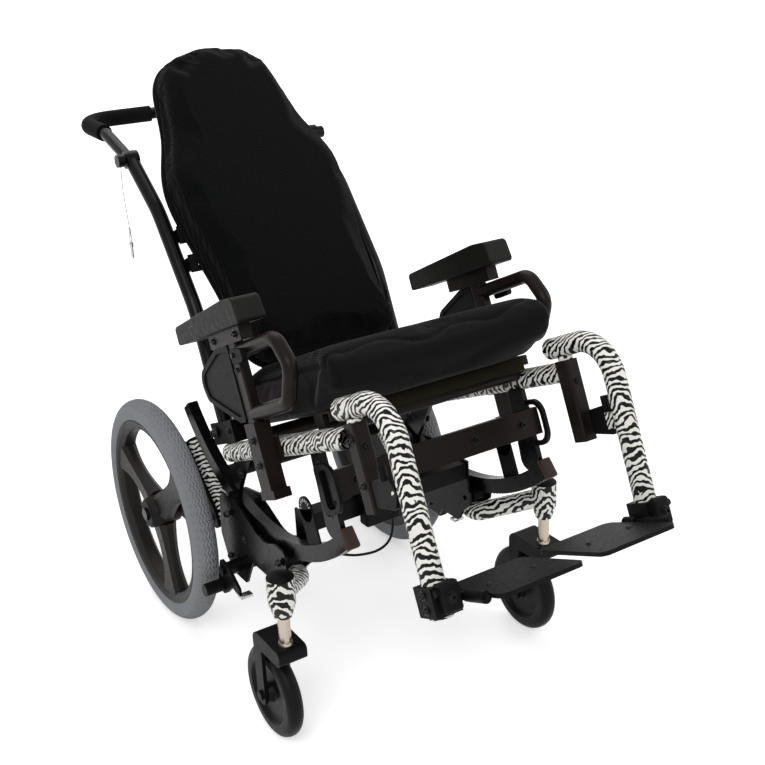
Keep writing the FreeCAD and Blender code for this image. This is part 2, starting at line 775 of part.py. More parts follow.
def handle_route():
    half = size("cane_half")
    pivot = cane_route()[-1]
    return [
        pivot + Vector(0, 16, 9),
        seat_point(half, -416, 404),
        seat_point(half, -539, 463),
        seat_point(-half, -539, 463),
        seat_point(-half, -416, 404),
        Vector(-pivot.x, pivot.y + 16, pivot.z + 9),
    ]


def push_bar():
    bar = swept(handle_route(), [80, 62, 62, 80], size("grip_tube") / 2)
    pivot = cane_route()[-1]
    for sign in sides.values():
        centre = Vector(sign * pivot.x, pivot.y, pivot.z)
        for offset in (-11.3, 6.3):
            bar = bar.fuse(cylinder(centre + Vector(offset, 0, 0), centre + Vector(offset + 5, 0, 0), 15))
        bridge = Part.makeBox(22.6, 12, 16, centre + Vector(-11.3, 15.6, 0))
        bolt = cylinder(centre + Vector(-14, 0, 0), centre + Vector(14, 0, 0), 5)
        knob = cylinder(centre + Vector(sign * 14, 0, 0), centre + Vector(sign * 26, 0, 0), 11)
        bar = bar.fuse([bridge, bolt, knob])
    return shape_piece("push_bar", bar, "seat")


def foam_grips():
    """Foam sleeve over each corner of the bar"""
    shapes = []
    points = handle_route()
    corner = points[2]
    arm = (points[1] - corner).normalize()
    across = Vector(-1, 0, 0)
    route = [corner + arm * 127, corner, corner + across * 140]
    foam = swept(route, [62], size("foam_tube") / 2).cut(swept(route, [62], size("grip_tube") / 2))
    for sign in sides.values():
        shapes.append(on_side(foam, sign))
    return shape_piece("foam_grips", Part.makeCompound(shapes), "seat")


# Armrests

def lever_pivot():
    """Pin of the thumb lever, on the outside of the armrest"""
    return seat_point(size("arm_half") + 11, 40, -48)


def arm_frame(label, sign):
    """Post that slides in the sleeve, with the transfer loop in front of it"""
    half = size("arm_half")
    post = block(seat_point(half - 8, 1, -236), seat_point(half + 8, 27, -30))
    post = post.makeFillet(3, [edge for edge in post.Edges if edge.Length > 200])
    loop_route = [
        seat_point(half, 20, -44), seat_point(half, 150, -40), seat_point(half, 176, -84),
        seat_point(half, 140, -132), seat_point(half, 20, -138),
    ]
    loop = swept(loop_route, [26, 22, 26], 11)
    rest = block(seat_point(half - 10, -60, -30), seat_point(half + 10, 60, -8))
    pivot = lever_pivot()
    pin = cylinder(pivot + Vector(-8, 0, 0), pivot + Vector(12.2, 0, 0), 4)
    return shape_piece(label, on_side(post.fuse([loop, rest, pin]), sign), "seat")


def arm_guard(label, sign):
    """Moulded side guard behind the post, with a raised rim"""
    outline = rounded([(-1, -30, 6), (46, -30, 20), (138, -62, 26), (124, -104, 18), (20, -147, 12), (-1, -147, 5)])
    inner = rounded([(6, -38, 4), (44, -38, 16), (127, -66, 20), (116, -98, 14), (20, -138, 8), (6, -138, 4)])
    sheet_layer = (outline, 3, 0)
    rim_layer = (outline + inner, 8, 0)
    return side_plate(label, [sheet_layer, rim_layer], "seat", sign * (size("arm_half") + 6))


def arm_pad(label, sign):
    """Arm pad with a rounded top"""
    half = size("pad_width") / 2
    body = doc.addObject("PartDesign::Body", label)
    outline = rounded([(156, -8, 4), (156, 22, 8), (-50, 33, 60), (-88, 30, 10), (-94, -8, 6)])
    sketch = new_sketch(body, "YZ_Plane", outline)
    feature = pad(body, sketch, "Sizes.pad_width")
    doc.recompute()
    fillet = body.newObject("PartDesign::Fillet", label + "Edge")
    ends = [f"Face{index}" for index, face in enumerate(feature.Shape.Faces, start=1)
            if abs(abs(face.CenterOfMass.x) - half) < 0.01]
    fillet.Base = (feature, ends)
    fillet.Radius = 3
    return keep(body, label, "seat", sign * size("arm_half"))


def height_lock(label, sign):
    """Thumb lever that frees the armrest post"""
    pivot = lever_pivot()
    outline = rounded([(-32, -38, 5), (-70, -42, 5), (-70, -60, 5), (-32, -62, 6)])
    face = Part.Face(Part.Wire([edge.toShape() for edge in outline]))
    face.rotate(Vector(0, 0, 0), Vector(1, 1, 1), 120)
    lever = face.extrude(Vector(9, 0, 0))
    lever.translate(Vector(pivot.x + 0.6, 0, 0))
    lever = lever.cut(cylinder(pivot + Vector(-3, 0, 0), pivot + Vector(20, 0, 0), 4.05))
    return shape_piece(label, on_side(lever, sign), "seat")


# Hangers and footplates

def latch_pivot():
    """Pin of the hanger latch, beside the tab on the hanger tube"""
    return seat_point(size("hanger_half") + 3, 304, -274)


def hanger(label, sign):
    """Bent tube that hooks into the receiver on a pin and swings away sideways"""
    half = size("hanger_half")
    start = seat_point(half, size("receiver_front") - 26, -157)
    corner = seat_point(half, 334, -152)
    end = seat_point(half, 330, -436)
    tube = bent_tube([start, corner, end], [58], radius, size("frame_wall"))
    cap = cylinder(start, start + Vector(0, 3, 0), radius)
    front = size("receiver_front")
    pin = Part.makeCylinder(7, 86, seat_point(half, front, -258))
    collar = Part.makeCylinder(11, 6, seat_point(half, front, -176.5))
    tab = block(seat_point(half - 2.5, 294, -286), seat_point(half + 2.5, 318, -262))
    pivot = latch_pivot()
    rivet = cylinder(pivot + Vector(-4, 0, 0), pivot + Vector(6, 0, 0), 4)
    return shape_piece(label, on_side(tube.fuse([cap, pin, collar, tab, rivet]), sign), "seat")


def hanger_latch(label, sign):
    """Latch plate that hooks behind the receiver's front edge, with a thumb knob on top"""
    pivot = latch_pivot()
    outline = rounded([(-253, -256, 5), (-253, -292, 5), (-300, -296, 8), (-313, -274, 8), (-298, -250, 6)])
    face = Part.Face(Part.Wire([edge.toShape() for edge in outline]))
    face.rotate(Vector(0, 0, 0), Vector(1, 1, 1), 120)
    lever = face.extrude(Vector(5, 0, 0))
    lever.translate(Vector(pivot.x + 0.5, 0, 0))
    knob = Part.makeCylinder(6, 18, pivot + Vector(5, 14, 18))
    lever = lever.fuse(knob).cut(cylinder(pivot + Vector(-6, 0, 0), pivot + Vector(9, 0, 0), 4.05))
    return shape_piece(label, on_side(lever, sign), "seat")


def plate_pivot():
    return seat_point(size("hanger_half") - 28.5, 355, -416)


def plate_bracket(label, sign):
    """Casting clamped on the foot of the hanger, with the footplate's hinge pin"""
    half = size("hanger_half")
    clamp = block(seat_point(half - 20, 312, -432), seat_point(half + 20, 352, -392))
    bore = swept([seat_point(half, 334, -152), seat_point(half, 330, -436)], [], radius)
    nose = block(seat_point(half - 16, 350, -428), seat_point(half + 12, 366, -388))
    nose = nose.makeFillet(5, nose.Edges)
    bolt = cylinder(seat_point(half - 18, 356, -400), seat_point(half + 18, 356, -400), 5)
    pivot = plate_pivot()
    pin = cylinder(Vector(pivot.x, -308, pivot.z), Vector(pivot.x, -402, pivot.z), 4)
    arm = block(Vector(pivot.x - 5, -352, pivot.z - 5), Vector(half - 14, -340, pivot.z + 5))
    shape = clamp.fuse([nose, arm]).cut(bore).fuse([bolt, pin])
    return shape_piece(label, on_side(shape, sign), "seat")


def footplate(label, sign):
    """Flip-up footplate: a tapered plate with hinge knuckles and a rib underneath"""
    pivot = plate_pivot()
    outline = rounded([(15, -285, 10), (144, -285, 14), (148, -424, 14), (15, -424, 12)])
    face = Part.Face(Part.Wire([edge.toShape() for edge in outline]))
    plate = face.extrude(Vector(0, 0, size("plate_thick")))
    plate.translate(Vector(0, 0, pivot.z - 3))
    shape = plate
    for near, far in ((-312, -336), (-356, -398)):
        knuckle = cylinder(Vector(pivot.x, near, pivot.z), Vector(pivot.x, far, pivot.z), 8)
        web = block(Vector(pivot.x, near, pivot.z - 3), Vector(140, far, pivot.z + 3))
        shape = shape.fuse([knuckle, web])
    rib = block(Vector(40, -362, pivot.z - 11), Vector(140, -350, pivot.z - 3))
    shape = shape.fuse(rib).cut(cylinder(Vector(pivot.x, -280, pivot.z), Vector(pivot.x, -430, pivot.z), 4.05))
    return shape_piece(label, on_side(shape, sign), "seat")


# Cords

def limit_radii(points):
    """Largest arc that each corner of a cord's route can take"""
    radii = []
    for index in range(1, len(points) - 1):
        first = points[index] - points[index - 1]
        second = points[index + 1] - points[index]
        half_turn = first.getAngle(second) / 2
        radii.append(0.45 * min(first.Length, second.Length) / math.tan(half_turn))
    return radii


def cord(label, points, cord_radius, frame):
    radii = limit_radii(points)
    print(label, "bend radii", [round(value, 1) for value in radii])
    return shape_piece(label, swept(points, radii, cord_radius), frame)


def release_cable():
    """Black cable that leaves the clamp box, hangs in a loop and runs to the right roller housing"""
    start = Vector(-4, -362, 292)
    points = [start, Vector(-4, -362, 268), Vector(-14, -363, 247), Vector(-36, -365, 240), Vector(-62, -368, 244),
              Vector(-90, -370, 252), Vector(-116, -366, 264), Vector(-136, -352, 278), Vector(-154, -352, 278)]
    return cord("release_cable", points, 2.2, "floor")


def knob_end():
    """Outer end of the right handle knob, on the floor's axes"""
    pivot = cane_route()[-1]
    return seat_placement().multVec(Vector(-pivot.x - 20, pivot.y, pivot.z))


def lanyard():
    """Thin steel cable that hangs from the handle joint"""
    top = knob_end() + Vector(0, 0, -11)
    points = [top, top + Vector(-1.5, 2, -34), top + Vector(0, 0, -72), top + Vector(1, -1.5, -106)]
    return cord("lanyard", points, 0.9, "floor")


def lanyard_pin():
    """Crimp, ring and quick-release pin at the end of the lanyard"""
    top = knob_end() + Vector(1, -1.5, -117)
    crimp = cylinder(top, top + Vector(0, 0, -12), 2.2)
    ring_centre = top + Vector(0, 0, -20.5)
    ring = Part.makeTorus(8.5, 1.1, ring_centre, Vector(0.85, -0.52, 0))
    pin_top = ring_centre + Vector(0, 0, -8)
    pin = cylinder(pin_top, pin_top + Vector(0, 0, -26), 3)
    head = cylinder(pin_top + Vector(0, 0, 1.5), pin_top + Vector(0, 0, -6), 4.2)
    return shape_piece("lanyard_pin", crimp.fuse([ring, head, pin]))


def build():
    for side, sign in sides.items():
        base_side("base_side_" + side, sign)
        axle_plate("axle_plate_" + side, sign)
        roller_housing("roller_housing_" + side, sign)
        for place, angle in roller_angles().items():
            roller(f"roller_{place}_{side}", sign, angle)
        wheel_lock("wheel_lock_" + side, sign)
        tyre("tyre_" + side, sign)
        rear_wheel("rear_wheel_" + side, sign)
        caster_fork("caster_fork_" + side, sign)
        caster_wheel("caster_wheel_" + side, sign)
        rocker("rocker_" + side, sign)
        seat_rail("seat_rail_" + side, sign)
        cane("cane_" + side, sign)
        arm_frame("arm_frame_" + side, sign)
        arm_guard("arm_guard_" + side, sign)
        arm_pad("arm_pad_" + side, sign)
        height_lock("height_lock_" + side, sign)
        hanger("hanger_" + side, sign)
        hanger_latch("hanger_latch_" + side, sign)
        plate_bracket("plate_bracket_" + side, sign)
        footplate("footplate_" + side, sign)
    end_caps()
    axles()
    base_crossbars()
    cross_tube()
    release_cable()
    lanyard()
    lanyard_pin()
    seat_pan()
    hanger_receivers()
    cross_beam()
    tie_loops()
    arm_sleeves()
    seat_cushion()
    back_cushion()
    back_shell()
    cane_brackets()
    push_bar()
    foam_grips()


def check_and_write():
    doc.recompute()
    for obj in doc.Objects:
        if "Invalid" in obj.State or "Error" in obj.State:
            raise RuntimeError(f"{obj.Label} failed: {obj.State}")
    os.makedirs("parts", exist_ok=True)
    for obj in nodes:
        if obj.Shape.isNull() or not obj.Shape.isValid():
            raise RuntimeError(f"{obj.Label} has no valid shape")
        obj.Shape.exportStep(f"parts/{obj.Label}.step")
    print(len(nodes), "nodes written")


build()
check_and_write()
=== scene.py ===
import math

import bmesh
import bpy
from mathutils import Matrix, Vector


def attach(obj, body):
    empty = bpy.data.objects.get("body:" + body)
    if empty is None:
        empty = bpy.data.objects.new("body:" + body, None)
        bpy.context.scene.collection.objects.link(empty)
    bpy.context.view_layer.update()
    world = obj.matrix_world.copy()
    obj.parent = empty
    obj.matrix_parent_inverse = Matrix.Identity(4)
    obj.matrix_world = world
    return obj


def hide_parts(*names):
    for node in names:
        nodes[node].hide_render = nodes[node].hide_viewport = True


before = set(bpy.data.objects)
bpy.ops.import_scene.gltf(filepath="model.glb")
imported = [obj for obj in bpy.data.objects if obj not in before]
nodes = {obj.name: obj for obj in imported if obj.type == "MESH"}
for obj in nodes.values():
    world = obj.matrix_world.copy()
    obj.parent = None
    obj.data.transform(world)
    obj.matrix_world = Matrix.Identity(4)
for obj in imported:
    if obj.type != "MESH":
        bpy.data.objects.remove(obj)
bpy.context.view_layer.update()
print("frame loaded:", len(nodes), "nodes")

# The chair's own axes, in millimetres and degrees: the seat tilts about tiltCentre
chair = {
    "shiftBack": 206,
    "tiltCentre": (0, -69, 645),
    "tiltNow": 23,
    "backLean": 18,
    "backFront": 115,
}
mm = 0.001
seatTurn = Matrix.Rotation(math.radians(-chair["tiltNow"]), 4, "X")
seatFrame = Matrix.Translation(Vector(chair["tiltCentre"]) * mm) @ seatTurn
backFrame = (seatFrame @ Matrix.Translation((0, chair["backFront"] * mm, 0))
             @ Matrix.Rotation(math.radians(90 - chair["backLean"]), 4, "X"))
floorFrame = Matrix.Translation((0, chair["shiftBack"] * mm, 0))
sides = {"right": -1, "left": 1}


def seatPoint(x, forward, up):
    return seatFrame @ (Vector((x, -forward, up)) * mm)


def backPoint(x, along, front):
    return backFrame @ (Vector((x, along, front)) * mm)


def floorPoint(x, y, z):
    return floorFrame @ (Vector((x, y, z)) * mm)


# Camera, solved from left and right pairs of points on the chair
cameraPlan = {
    "place": (-0.8914, -1.5583, 1.1805),
    "yaw": -32.10,
    "pitch": 21.57,
    "roll": -2.66,
    "lens": 54.34,
}


def placeCamera(plan):
    yaw, pitch, roll = (math.radians(plan[key]) for key in ("yaw", "pitch", "roll"))
    back = Vector((math.sin(yaw) * math.cos(pitch), -math.cos(yaw) * math.cos(pitch), math.sin(pitch)))
    right = (-back).cross(Vector((0, 0, 1))).normalized()
    up = right.cross(-back)
    across = math.cos(roll) * right + math.sin(roll) * up
    upright = -math.sin(roll) * right + math.cos(roll) * up
    camera = bpy.data.objects.new("camera", bpy.data.cameras.new("camera"))
    camera.data.lens = plan["lens"]
    camera.data.sensor_width = 36
    camera.data.clip_start = 0.05
    turn = Matrix((across, upright, back)).transposed().to_4x4()
    camera.matrix_world = Matrix.Translation(plan["place"]) @ turn
    bpy.context.collection.objects.link(camera)
    bpy.context.scene.camera = camera


placeCamera(cameraPlan)


# Materials

def linearColour(hexText):
    parts = [int(hexText[i:i + 2], 16) / 255 for i in (0, 2, 4)]
    return [part / 12.92 if part < 0.04045 else ((part + 0.055) / 1.055) ** 2.4 for part in parts] + [1]


def addNode(tree, kind, settings=None, links=None):
    node = tree.nodes.new(kind)
    for key, value in (settings or {}).items():
        if isinstance(key, str) and hasattr(node, key):
            setattr(node, key, value)
        else:
            node.inputs[key].default_value = value
    for key, source in (links or {}).items():
        tree.links.new(source, node.inputs[key])
    return node


def newMaterial(name, shaderSettings):
    material = bpy.data.materials.new(name)
    material.use_nodes = True
    tree = material.node_tree
    shader = tree.nodes["Principled BSDF"]
    for key, value in shaderSettings.items():
        shader.inputs[key].default_value = value
    place = addNode(tree, "ShaderNodeTexCoord").outputs["Object"]
    return material, tree, shader, place


def grain(tree, place, size, detail=2.0, roughness=0.5):
    # Noise whose blotches are about size millimetres
    settings = {"Scale": 1000 / size, "Detail": detail, "Roughness": roughness}
    return addNode(tree, "ShaderNodeTexNoise", settings, {"Vector": place}).outputs["Fac"]


noiseSpan = (0.3, 0.7)  # most of a noise texture's values lie between these
driftSize = 70


def between(tree, value, low, high, start=0.0, end=1.0):
    # Brings a value that runs from start to end into the range from low to high
    return addNode(tree, "ShaderNodeMapRange", {1: start, 2: end, 3: low, 4: high}, {0: value}).outputs[0]


def mixColours(tree, factor, first, second):
    node = addNode(tree, "ShaderNodeMix", {"data_type": "RGBA"}, {0: factor})
    for socket, colour in ((6, first), (7, second)):
        if isinstance(colour, str):
            node.inputs[socket].default_value = linearColour(colour)
        else:
            tree.links.new(colour, node.inputs[socket])
    return node.outputs[2]


def raiseSurface(tree, shader, height, depth, strength=1.0):
    # depth is the real height of the relief, in millimetres
    bump = addNode(tree, "ShaderNodeBump", {"Strength": strength, "Distance": depth * mm}, {"Height": height})
    tree.links.new(bump.outputs[0], shader.inputs["Normal"])


def calculate(tree, operation, first, second=0.0, third=0.0):
    node = addNode(tree, "ShaderNodeMath", {"operation": operation})
    for socket, value in enumerate((first, second, third)):
        if isinstance(value, (int, float)):
            node.inputs[socket].default_value = value
        else:
            tree.links.new(value, node.inputs[socket])
    return node.outputs[0]


def zebraPaint():
    # Water transfer print under clear lacquer on steel tube: crisp stripes across a smooth, satin coat.
    # Sizes are in millimetres, and along is the way that the stripes follow each other
    stripes = {"period": 7.6, "swirl": 3.2, "swirlSize": 25, "taper": 0.6, "taperSize": 7,
               "along": (0.35, 0.8, 0.49), "edge": 0.12, "whiteSize": 60, "peelSize": 6, "peelDepth": 0.05}
    material, tree, shader, place = newMaterial("zebra print lacquer", {
        "Roughness": 0.34, "Coat Weight": 0.12, "Coat Roughness": 0.15, "Specular IOR Level": 0.12})
    along = addNode(tree, "ShaderNodeVectorMath", {"operation": "DOT_PRODUCT", 1: stripes["along"]},
                    {0: place}).outputs["Value"]
    swirl = calculate(tree, "MULTIPLY", grain(tree, place, stripes["swirlSize"], 2.0, 0.45), stripes["swirl"])
    turns = calculate(tree, "MULTIPLY_ADD", along, 1000 / stripes["period"], swirl)
    bands = calculate(tree, "SINE", calculate(tree, "MULTIPLY", turns, 2 * math.pi))
    taper = between(tree, grain(tree, place, stripes["taperSize"], 1.0), -stripes["taper"], stripes["taper"],
                    *noiseSpan)
    mask = between(tree, calculate(tree, "ADD", bands, taper), 0, 1, -stripes["edge"], stripes["edge"])
    white = mixColours(tree, grain(tree, place, stripes["whiteSize"]), "f0efea", "dcdad3")
    tree.links.new(mixColours(tree, mask, "060607", white), shader.inputs["Base Color"])
    raiseSurface(tree, shader, grain(tree, place, stripes["peelSize"]), stripes["peelDepth"], 0.3)
    return material


def plainMaterial(name, first, second, roughness, spread, grainSize, relief, settings=None):
    # A colour that drifts between two tones, with its roughness and a fine relief of grainSize millimetres
    material, tree, shader, place = newMaterial(name, settings or {})
    drift = grain(tree, place, driftSize, 3.0)
    tree.links.new(mixColours(tree, drift, first, second), shader.inputs["Base Color"])
    wear = grain(tree, place, grainSize * 5, 3.0)
    rough = between(tree, wear, roughness - spread, roughness + spread, *noiseSpan)
    tree.links.new(rough, shader.inputs["Roughness"])
    raiseSurface(tree, shader, grain(tree, place, grainSize, 3.0), relief, 0.6)
    return material


def knitFabric(name, ribs, tone, paintedGrooveShade, rowPitch):
    # Ribbed polyester spacer knit: ribs a few millimetres apart, broken by short stitches, dull. The valleys
    # between the ribs take the darker colour, as painted shade in the grooves
    knit = {"sway": 1.8, "swaySize": 35, "stitchShare": 0.25, "limit": 1.1, "relief": 0.9, "strength": 0.9}
    material, tree, shader, place = newMaterial(name, {
        "Roughness": 0.92, "Sheen Weight": 0.04, "Sheen Roughness": 0.5, "Specular IOR Level": 0.04})
    parts = addNode(tree, "ShaderNodeSeparateXYZ", links={0: place})
    sway = calculate(tree, "MULTIPLY", grain(tree, place, knit["swaySize"], 1.0), knit["sway"] * mm)
    across = calculate(tree, "ADD", parts.outputs[0], sway)
    fullTurn = 2 * math.pi
    rib = calculate(tree, "SINE", calculate(tree, "MULTIPLY", across, fullTurn / (ribs * mm)))
    row = calculate(tree, "SINE", calculate(tree, "MULTIPLY", parts.outputs[2], fullTurn / (rowPitch * mm)))
    stitch = calculate(tree, "MULTIPLY_ADD", row, knit["stitchShare"], rib)
    height = between(tree, stitch, 0, 1, -knit["limit"], knit["limit"])
    # painted shade: the low parts of the ribs are mixed towards the darker colour
    tree.links.new(mixColours(tree, height, paintedGrooveShade, tone), shader.inputs["Base Color"])
    raiseSurface(tree, shader, height, knit["relief"], knit["strength"])
    return material


finishes = {
    "zebra": zebraPaint(),
    # Powder-coated steel and aluminium: satin black with a fine orange peel
    "powder": plainMaterial("black powder coat", "090909", "0e0e0e", 0.4, 0.07, 1.2, 0.05,
                            {"Specular IOR Level": 0.07}),
    # Gloss enamel on the canes and rockers
    "enamel": plainMaterial("black gloss enamel", "060607", "0a0a0b", 0.24, 0.05, 2.5, 0.02,
                            {"Specular IOR Level": 0.12}),
    # Anodised aluminium extrusion: black with a brown cast and a dull shine
    "anodised": plainMaterial("brown black anodised aluminium", "130e0c", "1b1411", 0.36, 0.06, 0.8, 0.02,
                              {"Specular IOR Level": 0.1}),
    # Moulded ABS and nylon: even fine spark texture
    "plastic": plainMaterial("moulded black nylon", "0b0b0b", "111010", 0.5, 0.06, 0.9, 0.06,
                             {"Specular IOR Level": 0.07}),
    # Glass filled nylon of the wheel: greyer, with a swirl from the mould
    "wheelNylon": plainMaterial("glass filled nylon", "161413", "201d1b", 0.45, 0.08, 1.4, 0.07,
                                {"Specular IOR Level": 0.15}),
    # Polyurethane tyres of the casters
    "casterTyre": plainMaterial("black polyurethane tyre", "0a0a0b", "101011", 0.42, 0.08, 3.0, 0.03,
                                {"Specular IOR Level": 0.1}),
    # Grey non-marking rubber: chalky, drifting at random between two greys
    "greyRubber": plainMaterial("grey non marking rubber", "74767a", "86888b", 0.72, 0.08, 1.5, 0.12,
                                {"Specular IOR Level": 0.25}),
    # Closed cell foam: matt, with pores
    "foam": plainMaterial("black nitrile foam", "0a0a0a", "111111", 0.75, 0.08, 0.9, 0.25,
                          {"Specular IOR Level": 0.05}),
    # Integral skin polyurethane arm pads with a leather grain
    "padSkin": plainMaterial("integral skin polyurethane", "0f0e0d", "151412", 0.5, 0.08, 1.6, 0.16,
                             {"Specular IOR Level": 0.12}),
    # Nickel plated stems: warm and bright
    "nickel": plainMaterial("nickel plated steel", "a89c8a", "bdb2a2", 0.28, 0.08, 0.7, 0.02,
                            {"Metallic": 1.0}),
    "zinc": plainMaterial("bright zinc plated steel", "a9abad", "c2c3c4", 0.3, 0.08, 0.8, 0.03,
                          {"Metallic": 1.0}),
    "jacket": plainMaterial("extruded cable jacket", "080808", "0e0e0e", 0.38, 0.05, 1.0, 0.02,
                            {"Specular IOR Level": 0.1}),
    # The darker colour of each knit is painted shade in the grooves between the ribs
    "backKnit": knitFabric("ribbed spacer knit of the back", 3.6, "0b0c0c", "030303", 4.2),
    "seatKnit": knitFabric("ribbed spacer knit of the seat", 4.4, "0d0e0e", "040404", 5.0),
}
# Nylon and elastane jersey on the cushion's front: smooth, dull black
finishes["jersey"] = plainMaterial("black stretch jersey", "080808", "0e0e0f", 0.8, 0.06, 1.0, 0.08,
                                   {"Specular IOR Level": 0.05, "Sheen Weight": 0.05})
# The same jersey in aubergine on the sides
finishes["aubergine"] = plainMaterial("aubergine stretch jersey", "1d1119", "261821", 0.75, 0.06, 1.0, 0.1,
                                      {"Specular IOR Level": 0.08, "Sheen Weight": 0.08})
# Black oxide on steel bolts: dark, with a dull metallic shine
finishes["oxide"] = plainMaterial("black oxide steel", "1c1c1d", "272728", 0.38, 0.08, 0.8, 0.02,
                                  {"Metallic": 0.9})
# Glass filled nylon of the end blocks, dyed brown
finishes["brownNylon"] = plainMaterial("brown glass filled nylon", "2a1c17", "35251f", 0.5, 0.06, 1.2, 0.06,
                                       {"Specular IOR Level": 0.15})
# Polyester webbing under the cushion: dark olive
finishes["webbing"] = plainMaterial("olive polyester webbing", "1b1910", "242116", 0.8, 0.05, 1.4, 0.2,
                                    {"Specular IOR Level": 0.05})
finishes["ink"] = plainMaterial("white pad printing ink", "c8c8c4", "d6d6d2", 0.6, 0.05, 1.0, 0.01,
                                {"Specular IOR Level": 0.2})
print("finishes made:", len(finishes))

nodeFinishes = {
    "zebra": ["base_side_right", "base_side_left", "cross_tube", "seat_rail_right", "seat_rail_left",
              "hanger_right", "hanger_left"],
    "enamel": ["rocker_right", "rocker_left", "cane_right", "cane_left", "push_bar", "roller_housing_right",
               "roller_housing_left"],
    "anodised": ["hanger_receivers", "arm_sleeves", "arm_frame_right", "arm_frame_left", "cross_beam",
                 "seat_pan"],
    "powder": ["axle_plate_right", "axle_plate_left", "base_crossbars", "wheel_lock_right", "wheel_lock_left",
               "tie_loops", "cane_brackets", "hanger_latch_right", "hanger_latch_left", "caster_fork_right",
               "caster_fork_left"],
    "plastic": ["end_caps", "arm_guard_right", "arm_guard_left", "height_lock_right", "height_lock_left",
                "footplate_right", "footplate_left", "back_shell", "roller_front_right", "roller_front_left",
                "roller_rear_right", "roller_rear_left", "plate_bracket_right", "plate_bracket_left"],
    "wheelNylon": ["rear_wheel_right", "rear_wheel_left"],
    "greyRubber": ["tyre_right", "tyre_left"],
    "casterTyre": ["caster_wheel_right", "caster_wheel_left"],
    "foam": ["foam_grips"],
    "padSkin": ["arm_pad_right", "arm_pad_left"],
    "oxide": ["axles"],
    "zinc": ["lanyard_pin"],
    "jacket": ["release_cable"],
}
for finish, names in nodeFinishes.items():
    for name in names:
        surface = nodes[name].data
        surface.materials.clear()
        surface.materials.append(finishes[finish])


# Shapes

def newPiece(name, shape, finish, body, smooth=35):
    # smooth is the angle in degrees above which an edge stays sharp
    mesh = bpy.data.meshes.new(name)
    shape.to_mesh(mesh)
    shape.free()
    piece = bpy.data.objects.new(name, mesh)
    bpy.context.collection.objects.link(piece)
    mesh.materials.append(finishes[finish])
    for polygon in mesh.polygons:
        polygon.use_smooth = True
    mesh.set_sharp_from_angle(angle=math.radians(smooth))
    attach(piece, body)
    return piece


def addRod(shape, start, end, radius, radiusEnd=None, segments=24):
    start, end = Vector(start), Vector(end)
    axis = end - start
    turn = axis.to_track_quat("Z", "Y").to_matrix().to_4x4()
    made = bmesh.ops.create_cone(shape, cap_ends=True, segments=segments, radius1=radius * mm,
                                 radius2=(radius if radiusEnd is None else radiusEnd) * mm, depth=axis.length,
                                 matrix=Matrix.Translation((start + end) / 2) @ turn)
    return made["verts"]


def addBlock(shape, low, high, place, bevel=1.0, segments=2):
    low, high = Vector(low), Vector(high)
    size = (high - low) * mm
    made = bmesh.ops.create_cube(shape, size=1.0, matrix=place @ Matrix.Translation((low + high) / 2 * mm)
                                 @ Matrix.Diagonal((*size, 1)))
    if bevel:
        edges = list({edge for vertex in made["verts"] for edge in vertex.link_edges})
        bmesh.ops.bevel(shape, geom=edges, offset=bevel * mm, offset_type="OFFSET", affect="EDGES",
                        segments=segments, profile=0.5, material=-1)


boltHead = {"height": 0.75, "top": 0.72, "rim": 0.3, "socket": 0.6, "sunk": 0.5, "washer": 0.8}


def addBolt(shape, centre, outward, radius, washer):
    # Button head with a socket, standing on the surface at centre. washer is its radius, 0 for none
    outward = Vector(outward).normalized()
    height = radius * boltHead["height"]
    sunk = outward * boltHead["sunk"] * mm
    centre = Vector(centre)
    if washer:
        thick = outward * boltHead["washer"] * mm
        addRod(shape, centre - sunk, centre + thick, washer, segments=28)
        centre = centre + thick
    head = addRod(shape, centre - sunk, centre + outward * height * mm, radius, radius * boltHead["top"], 20)
    top = max({face for vertex in head for face in vertex.link_faces},
              key=lambda face: face.calc_center_median().dot(outward))
    bmesh.ops.inset_region(shape, faces=[top], thickness=radius * boltHead["rim"] * mm)
    socket = bmesh.ops.extrude_face_region(shape, geom=[top])
    moved = [item for item in socket["geom"] if isinstance(item, bmesh.types.BMVert)]
    bmesh.ops.translate(shape, verts=moved, vec=-outward * height * boltHead["socket"] * mm)
    bmesh.ops.delete(shape, geom=[top], context="FACES_ONLY")


# Cords

def cordCurve(name, points, radius, finish, body):
    curve = bpy.data.curves.new(name, "CURVE")
    curve.dimensions = "3D"
    spline = curve.splines.new("NURBS")
    spline.points.add(len(points) - 1)
    for point, place in zip(spline.points, points):
        point.co = (*place, 1)
        point.radius = radius * mm
    spline.order_u = 3
    spline.use_endpoint_u = True
    spline.resolution_u = 12
    curve.bevel_depth = 1  # the points' own radius sets the thickness
    curve.bevel_resolution = 4
    curve.use_fill_caps = True
    cable = bpy.data.objects.new(name, curve)
    bpy.context.collection.objects.link(cable)
    curve.materials.append(finishes[finish])
    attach(cable, body)
    return cable


def splineLength(cable):
    # Length of the curve's own line, with its bevel left out
    depth, cable.data.bevel_depth = cable.data.bevel_depth, 0
    bpy.context.view_layer.update()
    line = bpy.data.meshes.new_from_object(cable.evaluated_get(bpy.context.evaluated_depsgraph_get()))
    cable.data.bevel_depth = depth
    places = [vertex.co for vertex in line.vertices]
    total = sum((places[edge.vertices[0]] - places[edge.vertices[1]]).length for edge in line.edges)
    bpy.data.meshes.remove(line)
    return total


releaseCable = {
    "radius": 2.2,
    "route": [(-4, -362, 292), (-4, -362, 268), (-14, -363, 247), (-36, -365, 240), (-62, -368, 244),
              (-90, -370, 252), (-116, -366, 264), (-136, -352, 278), (-153.8, -352, 278)],
}
cable = cordCurve("release_cable_jacket", [floorPoint(*point) for point in releaseCable["route"]],
                  releaseCable["radius"], "jacket", "base")
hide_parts("release_cable")
splineLength(cable)

